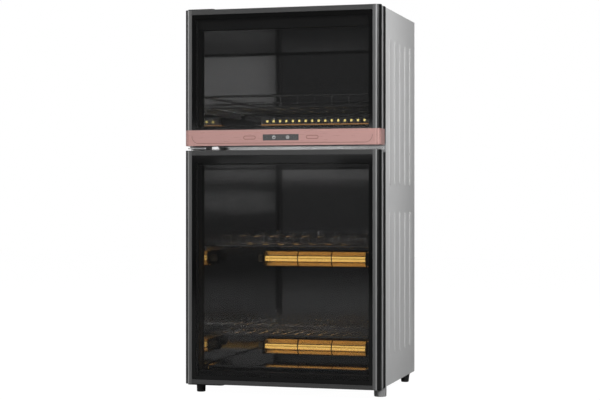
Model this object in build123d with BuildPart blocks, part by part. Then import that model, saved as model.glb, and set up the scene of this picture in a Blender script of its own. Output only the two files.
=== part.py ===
from build123d import *
import os

# Dish sterilizer cabinet. X to the right, Y into the cabinet, Z up, millimetres.
# The origin is on the floor under the middle of the cabinet.

os.makedirs("parts", exist_ok=True)

# ---------------------------------------------------------------- driving dimensions

# Overall
cabinet_width = 427.0  # across the body
cabinet_depth = 367.5  # door front to rear cover
foot_height = 20.2
lower_door_height = 500.3
door_gap = 9.7  # between the two doors, where the cross beam shows
band_height = 33.6
window_height = 257.8  # of the upper door, above its band

# Fits and clearances
play = 0.3  # between pieces that move past each other
fit = 0.2  # between pieces that are fitted into each other
pin_clearance = 0.05  # radial, hinge pin in its bush

# Doors
door_thickness = 40.0
rail_depth = 14.0
rail_width = 14.5
rail_round = 11.0
rail_lip = 8.0  # behind the glass
top_rail_height = 11.0
bottom_rail_height = 9.5
cap_height = 12.0
cap_proud = 2.0  # rails, caps and band stand this far beyond the body's sides
rail_edge = 1.0
glass_thickness = 4.0
glass_inset = 1.5
inner_frame_inset = 1.0
inner_glass_thickness = 3.0
inner_glass_rebate = 4.0
window_lip = 3.0  # the inner frame stands this far inside the chamber's edge
seal_gap = 4.0  # door back to front frame
seal_width = 8.0
seal_offset = 2.0  # seal to chamber edge
seal_corner = 2.0

# Band, display and keys
band_wall = 3.0
band_shelf = 2.0
groove_width = 1.2
groove_depth = 0.8
groove_rise = 5.0
groove_corner = 16.0
groove_end_inset = 15.0
display_width = 79.0
display_height = 13.0
lens_flange = 2.0
lens_flange_thickness = 1.5
key_radius = 3.75
key_spacing = 30.0
key_flange = 1.2
key_flange_thickness = 1.4
key_travel = 0.8
board_thickness = 1.6
board_width = 120.0
board_height = 22.0
key_edge = 0.3
switch_size = 6.0
switch_height = 3.5
switch_button = 3.0

# Body
sheet = 1.0
panel_edge = 0.6
flange = 12.0
frame_depth = 15.0  # front frame, front to back
beam_height = 20.0
beam_wall = 1.5
liner_sheet = 0.8
liner_flange = 6.0
side_wall = 22.5  # side of the cabinet to the chamber
floor_wall = 24.8
lintel = 28.0  # lower door top to lower chamber ceiling
sill = 5.7  # band top to upper chamber floor
roof_wall = 39.0
rear_wall = 40.0  # chamber back to the cabinet's rear
rib_rise = 1.5
rib_width = 24.0
rib_pitch = 52.6
rib_count = 5
rib_slope = 25.0  # degrees
rib_low_start = 61.5  # above the base
rib_low_length = 307.5
rib_gap = 56.0
rib_top_margin = 62.5

# Feet
foot_top_radius = 10.5
foot_bottom_radius = 8.5
foot_collar = 3.0
foot_collar_proud = 1.0
foot_edge = 1.0
levelling_top_radius = 13.4  # the wide foot at the front right
levelling_bottom_radius = 13.1
levelling_inset = 13.5  # side to its centre
hinge_foot_top_radius = 9.8  # the front left foot, under the hinge plate
hinge_foot_bottom_radius = 9.2
hinge_foot_inset = 22.0  # side to its centre
hinge_foot_front = 40.0  # behind the door front
foot_inset = 15.5  # side to foot centre
foot_front = 67.0  # behind the door front
foot_rear = 40.0  # ahead of the rear cover
stud_radius = 3.0
stud_length = 9.0

# Hinges
hinge_in = 9.5  # pin centre from the side
hinge_back = 20.0  # pin centre behind the door front
pin_radius = 3.0
pin_reach = 9.0
pin_collar = 2.5
bush_wall = 2.4
bush_length = 10.0
plate_thickness = 2.5
bottom_plate_thickness = 3.0
top_plate_width = 60.0
bottom_plate_width = 80.0
bracket_width = 44.0
plate_margin = 8.0  # plate edge beyond the pin's centre
plate_root = 6.0  # plate stops this far ahead of the frame's back
plate_corner = 6.4

# Catches
magnet_width = 7.0
magnet_height = 30.0
magnet_depth = 12.0
strike_thickness = 2.5

# Racks
wire = 5.0  # rack frame
thin_wire = 3.2
basket_wire = 4.0  # the basket's lower loop
post_wire = 3.0
weld_gap = 0.05
under_wire_pitch = 80.0
rack_side_gap = 4.5
rack_front = 66.0  # behind the door front
rack_back_gap = 14.0
rack_corner = 15.0
rail_shelf = 10.0
rail_sheet = 2.0
rail_drop = 10.0
rail_front = 70.0
basket_level = 45.0  # above the upper chamber's floor
basket_rise = 25.0
basket_pitch = 38.0
basket_wires = 9
side_posts = 3
side_post_pitch = 72.0
middle_level = 271.0  # above the lower chamber's floor
middle_pitch = 36.0
middle_dividers = 10
lower_level = 78.0
lower_pitch = 27.0
lower_dividers = 13
divider_rise = 20.0
divider_bend = 6.0
divider_front = 26.0  # from the rack's front wire
divider_hump = 62.0
tray_height = 10.0
tray_sheet = 1.2
tray_corner = 6.0
tray_side_gap = 6.0
tray_front = 62.0
tray_back_gap = 8.0

# Heaters
heater_shift = -1.5
heater_length = 242.5
tube_radius = 6.0
guard_radius = 19.7
guard_wire = 2.0
guard_bars = 8
guard_bar_radius = 0.8
guard_rings = 4
reflector_sheet = 0.8
reflector_gap = 0.5  # to the guard's inside
heater_back_gap = 35.0  # tube centre to the chamber's back
lower_heater_level = 31.8  # above the lower chamber's floor
middle_heater_level = 234.0
bracket_sheet = 2.0
bracket_height = 30.0
end_cap_radius = 8.5
end_cap_length = 14.0

# Perforated strip in the upper chamber
strip_shift = -8.0
strip_length = 262.0
strip_depth = 20.0
strip_height = 18.0
strip_gap = 18.0  # strip to the upper chamber's floor
hole_radius = 3.0
hole_pitch = 15.5
hole_count = 16
strip_tube_radius = 4.0

# Rear of the cabinet
gland_reach = 8.0
gland_radius = 6.0
gland_bore = 4.0
gland_flange = 11.0
gland_flange_thickness = 3.0
gland_wall = 1.5  # the collar's, outside the cover
gland_inset = 62.5  # from the cabinet's right side
gland_level = 58.0
nut_length = 5.0
nut_wall = 3.0
slot_length = 60.0
slot_height = 4.0
slot_pitch = 10.0
slot_rows = 6
slot_columns = 3
slot_column_pitch = 90.0
vent_margin = 90.0
screw_head = 4.0
screw_radius = 1.9
screw_head_height = 2.2
screw_length = 6.0
screw_crown = 0.9
cross_reach = 2.2  # the screws' cross recess
cross_width = 0.8
cross_depth = 1.0
screw_rows = 4
power_board_width = 130.0
power_board_height = 70.0
standoff_radius = 3.0
standoff_height = 6.0
board_margin = 8.0
part_height = 14.0
transformer_x = (-52.0, -19.5)
transformer_z = (-16.25, 16.25)  # from the board's middle
relay_x = (-13.0, 6.5)
relay_z = (0.0, 16.25)
terminal_x = (16.25, 52.0)
terminal_z = (-16.25, 0.0)
thermostat_radius = 8.0
thermostat_height = 8.0
thermostat_x = 95.0
thermostat_drop = 22.5  # under the chamber's ceiling

# ---------------------------------------------------------------- worked-out places

half = cabinet_width / 2
front = -(cabinet_depth + gland_reach) / 2


def depth(value):
    """Y of a place that far behind the door front."""
    return front + value


base_z = foot_height
lower_z0 = base_z + play
lower_z1 = lower_z0 + lower_door_height
upper_z0 = lower_z1 + door_gap
band_top = upper_z0 + band_height
upper_z1 = band_top + window_height
body_top = upper_z1 + play

frame_front = door_thickness + seal_gap
frame_back = frame_front + frame_depth
chamber_half = half - side_wall
chamber_back = cabinet_depth - rear_wall
lower_floor = base_z + floor_wall
lower_ceiling = lower_z1 - lintel
upper_floor = band_top + sill
upper_ceiling = upper_z1 - roof_wall
beam_z = (lower_z1 + upper_z0) / 2
panel_outer = half - rib_rise
panel_inner = panel_outer - sheet
rail_inner = half - rail_width
cap_outer = half + cap_proud
glass_back = glass_inset + glass_thickness
frame_half = half - inner_frame_inset
hinge_x = -(half - hinge_in)
bush_radius = pin_radius + pin_clearance + bush_wall
rebate_front = door_thickness - inner_glass_rebate
rack_half = chamber_half - rack_side_gap - wire / 2
rack_back = chamber_back - rack_back_gap
seal_edge = chamber_half + seal_offset + seal_width
magnet_x = (frame_half + seal_edge) / 2
gland_x = half - gland_inset
doors = {
    "lower": (lower_z0, lower_z1, lower_floor, lower_ceiling),
    "upper": (upper_z0, upper_z1, upper_floor, upper_ceiling),
}


def block(x, y, z, mode=Mode.ADD):
    """A block between the low and high values along each axis, y behind the door front."""
    centre = ((x[0] + x[1]) / 2, depth((y[0] + y[1]) / 2), (z[0] + z[1]) / 2)
    with Locations(centre):
        Box(x[1] - x[0], y[1] - y[0], z[1] - z[0], mode=mode)


def around(value):
    return (-value, value)


def rod(start, end, radius, mode=Mode.ADD):
    """A round bar between two points, y behind the door front."""
    low = Vector(start[0], depth(start[1]), start[2])
    high = Vector(end[0], depth(end[1]), end[2])
    plane = Plane(origin=(low + high) / 2, z_dir=high - low)
    with Locations(plane):
        Cylinder(radius, (high - low).length, mode=mode)


# ---------------------------------------------------------------- cabinet body


def make_side_panel(name, side):
    """Folded sheet with two rows of hollow ribs pressed out of it."""
    low_start = base_z + rib_low_start
    low_end = low_start + rib_low_length
    high_start = low_end + rib_gap
    high_end = body_top - rib_top_margin
    rib_centre = depth((frame_back + cabinet_depth) / 2)
    columns = [rib_centre + (i - (rib_count - 1) / 2) * rib_pitch for i in range(rib_count)]
    outward = Plane(origin=(side * panel_outer, 0, 0), x_dir=(0, 1, 0), z_dir=(side, 0, 0))
    sheet_x = sorted((side * panel_inner, side * panel_outer))
    flange_x = sorted((side * (panel_inner - flange), side * panel_inner))
    tall = (base_z, body_top - sheet)
    with BuildPart() as side_panel:
        block(sheet_x, (frame_back, cabinet_depth), tall)
        block(flange_x, (frame_back, frame_back + sheet), tall)
        block(flange_x, (cabinet_depth - 2 * sheet, cabinet_depth - sheet), tall)
        for z0, z1 in ((low_start, low_end), (high_start, high_end)):
            spots = [(y, side * (z0 + z1) / 2) for y in columns]
            length = z1 - z0
            with BuildSketch(outward) as ribs:
                with Locations(*spots):
                    SlotOverall(length, rib_width, rotation=90)
            extrude(amount=rib_rise, taper=rib_slope)
            with BuildSketch(outward.offset(-sheet)) as hollows:
                with Locations(*spots):
                    SlotOverall(length - 2 * sheet, rib_width - 2 * sheet, rotation=90)
            extrude(amount=rib_rise, taper=rib_slope, mode=Mode.SUBTRACT)
        for x, z in screw_places():
            if x * side > 0:
                start = (x, cabinet_depth - 3 * sheet, z)
                rod(start, (x, cabinet_depth, z), screw_radius + fit / 2, Mode.SUBTRACT)
    side_panel.part.label = name
    export_step(side_panel.part, f"parts/{name}.step")


def screw_places():
    """The rear cover's screws, up both sides."""
    step = (body_top - base_z - 2 * flange) / (screw_rows - 1)
    x = panel_inner - flange / 2
    return [(side * x, base_z + flange + i * step) for side in (-1, 1) for i in range(screw_rows)]


def make_top_panel():
    z = (body_top - sheet, body_top)
    down = (body_top - sheet - flange, body_top - sheet)
    inner = panel_inner - fit
    with BuildPart() as top_panel:
        block(around(panel_outer), (frame_back, cabinet_depth), z)
        for side in (-1, 1):
            x = sorted((side * (inner - sheet), side * inner))
            block(x, (frame_back + flange, cabinet_depth - flange), down)
        edges = top_panel.edges().filter_by(Axis.Y).group_by(Axis.Z)[-1]
        fillet(edges, panel_edge)
    top_panel.part.label = "top_panel"
    export_step(top_panel.part, "parts/top_panel.step")


def foot_places():
    """Each foot's middle, height, stud length, and its bottom, top and collar radius.

    The last one stands under the bottom hinge plate, the others under the base pan.
    """
    x = half - foot_inset
    rear = cabinet_depth - foot_rear
    tall = (foot_height, stud_length)
    tapered = (foot_bottom_radius, foot_top_radius, foot_top_radius + foot_collar_proud)
    wide = (levelling_bottom_radius, levelling_top_radius, levelling_top_radius)
    short = (foot_height - bottom_plate_thickness, bottom_plate_thickness)
    slim = (hinge_foot_bottom_radius, hinge_foot_top_radius, hinge_foot_top_radius)
    return [
        (-x, rear, *tall, *tapered),
        (x, rear, *tall, *tapered),
        (half - levelling_inset, foot_front, *tall, *wide),
        (-half + hinge_foot_inset, hinge_foot_front, *short, *slim),
    ]


def make_base_pan():
    inner = panel_inner - fit
    ahead = frame_back + sheet + fit
    rear = cabinet_depth - 2 * sheet - fit
    with BuildPart() as base_pan:
        block(around(inner), (ahead, rear), (base_z, base_z + sheet))
        for side in (-1, 1):
            x = sorted((side * (inner - sheet), side * inner))
            block(x, (ahead + flange, rear - flange), (base_z, base_z + flange))
        for x, y, *_ in foot_places()[:-1]:
            rod((x, y, base_z), (x, y, base_z + sheet), stud_radius + fit / 2, Mode.SUBTRACT)
    base_pan.part.label = "base_pan"
    export_step(base_pan.part, "parts/base_pan.step")


def make_feet():
    with BuildPart() as feet:
        for x, y, height, stud, bottom, top, collar in foot_places():
            neck = height - foot_collar
            with Locations((x, depth(y), 0)):
                Cone(bottom, top, neck, align=(Align.CENTER, Align.CENTER, Align.MIN))
            rod((x, y, neck), (x, y, height), collar)
            rod((x, y, height), (x, y, height + stud), stud_radius)
        chamfer(feet.edges().group_by(Axis.Z)[0], foot_edge)
    feet.part.label = "feet"
    export_step(feet.part, "parts/feet.step")


def make_rear_cover():
    inner = panel_inner - fit
    face = Plane(origin=(0, depth(cabinet_depth - sheet), 0), x_dir=(1, 0, 0), z_dir=(0, -1, 0))
    heights = (base_z + vent_margin, body_top - vent_margin)
    with BuildPart() as rear_cover:
        block(around(inner), (cabinet_depth - sheet, cabinet_depth), (base_z, body_top - sheet))
        with BuildSketch(face) as vents:
            for z in heights:
                with Locations((0, z)):
                    with GridLocations(slot_column_pitch, slot_pitch, slot_columns, slot_rows):
                        SlotOverall(slot_length, slot_height)
        extrude(amount=-sheet, mode=Mode.SUBTRACT)
        z = base_z + gland_level
        inside = cabinet_depth - sheet
        rod((gland_x, inside, z), (gland_x, cabinet_depth, z), gland_radius, Mode.SUBTRACT)
        for x, z in screw_places():
            rod((x, inside, z), (x, cabinet_depth, z), screw_radius + fit / 2, Mode.SUBTRACT)
    rear_cover.part.label = "rear_cover"
    export_step(rear_cover.part, "parts/rear_cover.step")


def make_rear_screws():
    with BuildPart() as rear_screws:
        for x, z in screw_places():
            rod((x, cabinet_depth, z), (x, cabinet_depth + screw_head_height, z), screw_head)
            rod((x, cabinet_depth - screw_length, z), (x, cabinet_depth, z), screw_radius)
        fillet(rear_screws.edges().group_by(Axis.Y)[-1], screw_crown)
        back = cabinet_depth + screw_head_height
        y = (back - cross_depth, back)
        narrow = cross_width / 2
        for x, z in screw_places():
            block((x - cross_reach, x + cross_reach), y, (z - narrow, z + narrow), Mode.SUBTRACT)
            block((x - narrow, x + narrow), y, (z - cross_reach, z + cross_reach), Mode.SUBTRACT)
    rear_screws.part.label = "rear_screws"
    export_step(rear_screws.part, "parts/rear_screws.step")


def make_cord_gland():
    z = base_z + gland_level
    outer = cabinet_depth
    inner = cabinet_depth - sheet
    tip = outer + gland_reach
    nut = inner - nut_length
    with BuildPart() as cord_gland:
        rod((gland_x, inner, z), (gland_x, outer, z), gland_radius)
        rod((gland_x, outer, z), (gland_x, outer + gland_flange_thickness, z), gland_flange)
        rod((gland_x, outer, z), (gland_x, tip, z), gland_radius + gland_wall)
        rod((gland_x, nut, z), (gland_x, inner, z), gland_radius + nut_wall)
        rod((gland_x, nut, z), (gland_x, tip, z), gland_bore, Mode.SUBTRACT)
        rim = cord_gland.edges().group_by(Axis.Y)[-1]
        fillet(rim.sort_by(SortBy.RADIUS)[-1], gland_wall)
    cord_gland.part.label = "cord_gland"
    export_step(cord_gland.part, "parts/cord_gland.step")


def make_front_frame(name, z, chamber):
    with BuildPart() as front_frame:
        block(around(half), (frame_front, frame_back), z)
        block(around(chamber_half), (frame_front, frame_back), chamber, Mode.SUBTRACT)
        level = (chamber[0] + chamber[1]) / 2
        x = (magnet_x - magnet_width / 2, magnet_x + magnet_width / 2)
        pocket = (door_thickness, door_thickness + play + magnet_depth)
        block(x, pocket, (level - magnet_height / 2, level + magnet_height / 2), Mode.SUBTRACT)
    front_frame.part.label = name
    export_step(front_frame.part, f"parts/{name}.step")


def make_catch_magnets():
    with BuildPart() as catch_magnets:
        for _, _, floor, ceiling in doors.values():
            level = (floor + ceiling) / 2
            x = (magnet_x - magnet_width / 2, magnet_x + magnet_width / 2)
            y = (door_thickness + play, door_thickness + play + magnet_depth)
            block(x, y, (level - magnet_height / 2, level + magnet_height / 2))
    catch_magnets.part.label = "catch_magnets"
    export_step(catch_magnets.part, "parts/catch_magnets.step")


def make_cross_beam():
    z = (beam_z - beam_height / 2, beam_z + beam_height / 2)
    with BuildPart() as cross_beam:
        block(around(half), (frame_front, frame_back), z)
        hollow = (z[0] + beam_wall, z[1] - beam_wall)
        block(around(half - beam_wall), (frame_front + beam_wall, frame_back), hollow, Mode.SUBTRACT)
    cross_beam.part.label = "cross_beam"
    export_step(cross_beam.part, "parts/cross_beam.step")


def make_liner(name, floor, ceiling):
    outer = (floor - liner_sheet, ceiling + liner_sheet)
    lip = (outer[0] - liner_flange, outer[1] + liner_flange)
    wide = chamber_half + liner_sheet
    with BuildPart() as liner:
        block(around(wide), (frame_back, chamber_back + liner_sheet), outer)
        block(around(wide + liner_flange), (frame_back, frame_back + liner_sheet), lip)
        block(around(chamber_half), (frame_back, chamber_back), (floor, ceiling), Mode.SUBTRACT)
    liner.part.label = name
    export_step(liner.part, f"parts/{name}.step")


# ---------------------------------------------------------------- hinges


def make_hinge_plate_top():
    z = (body_top, body_top + plate_thickness)
    x = (-half, -half + top_plate_width)
    with BuildPart() as hinge_plate_top:
        block(x, (hinge_back - plate_margin, frame_back - plate_root), z)
        rod((hinge_x, hinge_back, z[0]), (hinge_x, hinge_back, z[1]), pin_radius, Mode.SUBTRACT)
        corners = hinge_plate_top.edges().filter_by(Axis.Z).group_by(Axis.Y)[0]
        fillet(corners, plate_corner)
    hinge_plate_top.part.label = "hinge_plate_top"
    export_step(hinge_plate_top.part, "parts/hinge_plate_top.step")


def make_hinge_plate_bottom():
    z = (base_z - bottom_plate_thickness, base_z)
    x = (-half, -half + bottom_plate_width)
    with BuildPart() as hinge_plate_bottom:
        block(x, (hinge_back - plate_margin, frame_back - plate_root), z)
        rod((hinge_x, hinge_back, z[0]), (hinge_x, hinge_back, z[1]), pin_radius, Mode.SUBTRACT)
        foot_x, foot_y, *_ = foot_places()[-1]
        hole = stud_radius + fit / 2
        rod((foot_x, foot_y, z[0]), (foot_x, foot_y, z[1]), hole, Mode.SUBTRACT)
        corners = hinge_plate_bottom.edges().filter_by(Axis.Z).group_by(Axis.Y)[0]
        fillet(corners, plate_corner)
    hinge_plate_bottom.part.label = "hinge_plate_bottom"
    export_step(hinge_plate_bottom.part, "parts/hinge_plate_bottom.step")


def make_hinge_bracket_middle():
    z = (beam_z - plate_thickness / 2, beam_z + plate_thickness / 2)
    x = (-half, -half + bracket_width)
    with BuildPart() as hinge_bracket_middle:
        block(x, (hinge_back - plate_margin, frame_front), z)
        upright = (lower_z1 + 2 * play, upper_z0 - 2 * play)
        block(x, (frame_front - plate_thickness, frame_front), upright)
        rod((hinge_x, hinge_back, z[0]), (hinge_x, hinge_back, z[1]), pin_radius, Mode.SUBTRACT)
        corners = hinge_bracket_middle.edges().filter_by(Axis.Z).group_by(Axis.Y)[0]
        fillet(corners, plate_corner)
    hinge_bracket_middle.part.label = "hinge_bracket_middle"
    export_step(hinge_bracket_middle.part, "parts/hinge_bracket_middle.step")


def make_hinge_pins():
    with BuildPart() as hinge_pins:
        spot = (hinge_x, hinge_back)
        rod((*spot, base_z - bottom_plate_thickness), (*spot, lower_z0 + pin_reach), pin_radius)
        rod((*spot, lower_z1 - pin_reach), (*spot, upper_z0 + pin_reach), pin_radius)
        rod((*spot, beam_z + plate_thickness / 2), (*spot, upper_z0 - play), pin_radius + pin_collar)
        rod((*spot, upper_z1 - pin_reach), (*spot, body_top + plate_thickness), pin_radius)
    hinge_pins.part.label = "hinge_pins"
    export_step(hinge_pins.part, "parts/hinge_pins.step")


def make_bushes(name, z0, z1):
    with BuildPart() as bushes:
        spot = (hinge_x, hinge_back)
        for start, end in ((z0, z0 + bush_length), (z1 - bush_length, z1)):
            rod((*spot, start), (*spot, end), bush_radius)
            rod((*spot, start), (*spot, end), pin_radius + pin_clearance, Mode.SUBTRACT)
    bushes.part.label = name
    export_step(bushes.part, f"parts/{name}.step")


# ---------------------------------------------------------------- doors


def make_glass(name, low, high):
    with BuildPart() as glass:
        x = around(rail_inner - fit)
        block(x, (glass_inset, glass_back), (low + fit, high - fit))
    glass.part.label = name
    export_step(glass.part, f"parts/{name}.step")


def make_side_rail(name, side, low, high):
    """Round-fronted upright with a lip behind the glass."""
    outer = side * cap_outer
    inner = side * rail_inner
    lip = side * (rail_inner - rail_lip)
    corner = side * (cap_outer - rail_round)
    with BuildPart() as side_rail:
        with BuildSketch(Plane.XY.offset(low)) as profile:
            with BuildLine() as outline:
                Line((inner, depth(0)), (corner, depth(0)))
                RadiusArc((corner, depth(0)), (outer, depth(rail_round)), -side * rail_round)
                Polyline(
                    (outer, depth(rail_round)),
                    (outer, depth(rail_depth)),
                    (lip, depth(rail_depth)),
                    (lip, depth(glass_back)),
                    (inner, depth(glass_back)),
                    (inner, depth(0)),
                )
            make_face()
        extrude(amount=high - low)
    side_rail.part.label = name
    export_step(side_rail.part, f"parts/{name}.step")


def make_cross_rail(name, low, high, lips):
    """Level rail between the corner caps, with a lip behind the glass at the given heights."""
    with BuildPart() as cross_rail:
        block(around(rail_inner), (0, rail_depth), (low, high))
        block(around(rail_inner - rail_lip), (glass_back, rail_depth), lips)
        fillet(cross_rail.edges().filter_by(Axis.X).group_by(Axis.Y)[0], rail_edge)
    cross_rail.part.label = name
    export_step(cross_rail.part, f"parts/{name}.step")


def make_corner_caps(name, spans):
    with BuildPart() as corner_caps:
        for low, high in spans:
            for side in (-1, 1):
                x = sorted((side * rail_inner, side * cap_outer))
                block(x, (0, rail_depth), (low, high))
        uprights = corner_caps.edges().filter_by(Axis.Z).group_by(Axis.Y)[0].group_by(Axis.X)
        fillet(uprights[0] + uprights[-1], rail_round)
    corner_caps.part.label = name
    export_step(corner_caps.part, f"parts/{name}.step")


def make_inner_frame(name, z0, z1, floor, ceiling):
    opening = (floor + window_lip, ceiling - window_lip)
    level = (floor + ceiling) / 2
    with BuildPart() as inner_frame:
        block(around(frame_half), (rail_depth, door_thickness), (z0, z1))
        block(around(chamber_half - window_lip), (rail_depth, door_thickness), opening, Mode.SUBTRACT)
        block(around(chamber_half), (rebate_front, door_thickness), (floor, ceiling), Mode.SUBTRACT)
        x = (magnet_x - magnet_width / 2, magnet_x + magnet_width / 2)
        z = (level - magnet_height / 2, level + magnet_height / 2)
        block(x, (door_thickness - strike_thickness, door_thickness), z, Mode.SUBTRACT)
        spot = (hinge_x, hinge_back)
        for start, end in ((z0, z0 + bush_length), (z1 - bush_length, z1)):
            rod((*spot, start), (*spot, end), bush_radius, Mode.SUBTRACT)
    inner_frame.part.label = name
    export_step(inner_frame.part, f"parts/{name}.step")


def make_inner_glass(name, floor, ceiling):
    with BuildPart() as inner_glass:
        y = (rebate_front, rebate_front + inner_glass_thickness)
        block(around(chamber_half - fit), y, (floor + fit, ceiling - fit))
    inner_glass.part.label = name
    export_step(inner_glass.part, f"parts/{name}.step")


def make_strike(name, floor, ceiling):
    level = (floor + ceiling) / 2
    with BuildPart() as strike:
        x = (magnet_x - magnet_width / 2, magnet_x + magnet_width / 2)
        z = (level - magnet_height / 2, level + magnet_height / 2)
        block(x, (door_thickness - strike_thickness, door_thickness), z)
    strike.part.label = name
    export_step(strike.part, f"parts/{name}.step")


def make_gasket(name, floor, ceiling):
    inner = chamber_half + seal_offset
    y = (door_thickness, frame_front - play)
    low = floor - seal_offset
    high = ceiling + seal_offset
    with BuildPart() as gasket:
        block(around(inner + seal_width), y, (low - seal_width, high + seal_width))
        block(around(inner), y, (low, high), Mode.SUBTRACT)
        fillet(gasket.edges().filter_by(Axis.Y), seal_corner)
    gasket.part.label = name
    export_step(gasket.part, f"parts/{name}.step")


def make_band():
    """Metallic band: a front wall with round ends, two shelves and a cheek over each door side."""
    z = (upper_z0, band_top)
    face = Plane(origin=(0, depth(0), 0), x_dir=(1, 0, 0), z_dir=(0, -1, 0))
    level = (z[0] + z[1]) / 2
    groove_z = z[0] + groove_rise
    groove_x = half - groove_end_inset
    with BuildPart() as band:
        block(around(cap_outer), (0, door_thickness), z)
        uprights = band.edges().filter_by(Axis.Z).group_by(Axis.Y)[0]
        fillet(uprights, rail_round)
        block(around(frame_half), (rail_depth, door_thickness), z, Mode.SUBTRACT)
        cavity = (z[0] + band_shelf, z[1] - band_shelf)
        block(around(rail_inner - rail_round / 2), (band_wall, rail_depth), cavity, Mode.SUBTRACT)
        window = (level - display_height / 2, level + display_height / 2)
        block(around(display_width / 2), (0, band_wall), window, Mode.SUBTRACT)
        turn_x = groove_x - groove_corner
        turn_z = groove_z + groove_corner
        with BuildSketch(face) as groove:
            with BuildLine() as route:
                Line((-turn_x, groove_z), (turn_x, groove_z))
                RadiusArc((turn_x, groove_z), (groove_x, turn_z), -groove_corner)
                RadiusArc((-turn_x, groove_z), (-groove_x, turn_z), groove_corner)
            trace(line_width=groove_width)
        extrude(amount=-groove_depth, mode=Mode.SUBTRACT)
    band.part.label = "band"
    export_step(band.part, "parts/band.step")


def key_places():
    level = (upper_z0 + band_top) / 2
    return [(-key_spacing / 2, level), (key_spacing / 2, level)]


def make_display_lens():
    level = (upper_z0 + band_top) / 2
    wide = display_width / 2
    tall = display_height / 2
    back = band_wall + lens_flange_thickness
    with BuildPart() as display_lens:
        block(around(wide - fit), (fit, band_wall), (level - tall + fit, level + tall - fit))
        edge = (level - tall - lens_flange, level + tall + lens_flange)
        block(around(wide + lens_flange), (band_wall, back), edge)
        for x, z in key_places():
            rod((x, 0, z), (x, back, z), key_radius + fit, Mode.SUBTRACT)
    display_lens.part.label = "display_lens"
    export_step(display_lens.part, "parts/display_lens.step")


def make_key(name, x, z):
    back = band_wall + lens_flange_thickness + fit / 2
    with BuildPart() as key:
        rod((x, fit, z), (x, back, z), key_radius)
        rod((x, back, z), (x, back + key_flange_thickness, z), key_radius + key_flange)
        fillet(key.edges().group_by(Axis.Y)[0], key_edge)
    key.part.label = name
    export_step(key.part, f"parts/{name}.step")


def make_control_board():
    level = (upper_z0 + band_top) / 2
    board_front = rail_depth - board_thickness
    key_back = band_wall + lens_flange_thickness + fit / 2 + key_flange_thickness
    with BuildPart() as control_board:
        z = (level - board_height / 2, level + board_height / 2)
        block(around(board_width / 2), (board_front, rail_depth), z)
        square = switch_size / 2
        y = (board_front - switch_height, board_front)
        button = key_back + key_travel + fit
        for x, middle in key_places():
            block((x - square, x + square), y, (middle - square, middle + square))
            rod((x, button, middle), (x, board_front, middle), switch_button / 2)
    control_board.part.label = "control_board"
    export_step(control_board.part, "parts/control_board.step")


def make_door(name):
    z0, z1, floor, ceiling = doors[name]
    upper = name == "upper"
    glass_low = band_top if upper else z0 + bottom_rail_height
    rail_low = band_top if upper else z0 + cap_height
    glass_high = z1 - top_rail_height
    make_glass(f"{name}_glass", glass_low, glass_high)
    make_inner_glass(f"{name}_inner_glass", floor, ceiling)
    make_side_rail(f"{name}_rail_left", -1, rail_low, z1 - cap_height)
    make_side_rail(f"{name}_rail_right", 1, rail_low, z1 - cap_height)
    make_cross_rail(f"{name}_top_rail", glass_high, z1, (glass_high - rail_lip, glass_high))
    spans = [(z1 - cap_height, z1)]
    if not upper:
        make_cross_rail("lower_bottom_rail", z0, glass_low, (glass_low, glass_low + rail_lip))
        spans.append((z0, z0 + cap_height))
    make_corner_caps(f"{name}_corner_caps", spans)
    make_inner_frame(f"{name}_inner_frame", z0, z1, floor, ceiling)
    make_gasket(f"{name}_gasket", floor, ceiling)
    make_strike(f"{name}_strike", floor, ceiling)
    make_bushes(f"{name}_bushes", z0, z1)


# ---------------------------------------------------------------- racks


def rack_loop(level, radius):
    """A closed level wire of the racks' outline, as a ring of bars and quarter turns."""
    wide = rack_half
    y0, y1 = rack_front, rack_back
    r = rack_corner
    for side in (-1, 1):
        rod((side * wide, y0 + r, level), (side * wide, y1 - r, level), radius)
    for y in (y0, y1):
        rod((-wide + r, y, level), (wide - r, y, level), radius)
    corners = [(1, y1 - r, 0), (-1, y1 - r, 90), (-1, y0 + r, 180), (1, y0 + r, 270)]
    for side, y, turn in corners:
        with Locations(Location((side * (wide - r), depth(y), level), (0, 0, turn))):
            Torus(r, radius, major_angle=90, align=None)


def under_wires(level, reach):
    """Level bars left to right under a rack's cross wires, welded on from below."""
    below = level - thin_wire - weld_gap
    centre = (rack_front + rack_back) / 2
    for side in (-1, 1):
        y = centre + side * under_wire_pitch / 2
        rod((-reach, y, below), (reach, y, below), thin_wire / 2)


def make_rack_frame(name, level, pitch, count):
    with BuildPart() as rack_frame:
        rack_loop(level, wire / 2)
        for i in range(count):
            x = (i - (count - 1) / 2) * pitch
            rod((x, rack_front, level), (x, rack_back, level), thin_wire / 2)
        under_wires(level, (count - 1) / 2 * pitch + thin_wire)
    rack_frame.part.label = name
    export_step(rack_frame.part, f"parts/{name}.step")


def make_dividers(name, level, pitch, count):
    """Bent wires that stand on the rack's cross wires, each with a front and a rear hump."""
    foot = level + thin_wire / 2
    top = foot + divider_rise - thin_wire / 2
    dip = foot + thin_wire / 2
    y0 = rack_front + divider_front
    y1 = rack_back - divider_front
    points = [
        (y0, foot),
        (y0, top),
        (y0 + divider_hump, top),
        (y0 + divider_hump, dip),
        (y1 - divider_hump, dip),
        (y1 - divider_hump, top),
        (y1, top),
        (y1, foot),
    ]
    with BuildPart() as dividers:
        for i in range(count):
            x = (i - (count - 1) / 2) * pitch
            with BuildLine(Plane.XY) as route:
                FilletPolyline(*[(x, depth(y), z) for y, z in points], radius=divider_bend)
            start = Plane(origin=(x, depth(y0), foot), z_dir=(0, 0, 1))
            with BuildSketch(start) as section:
                Circle(thin_wire / 2)
            sweep(path=route.wires()[0])
    dividers.part.label = name
    export_step(dividers.part, f"parts/{name}.step")


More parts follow.
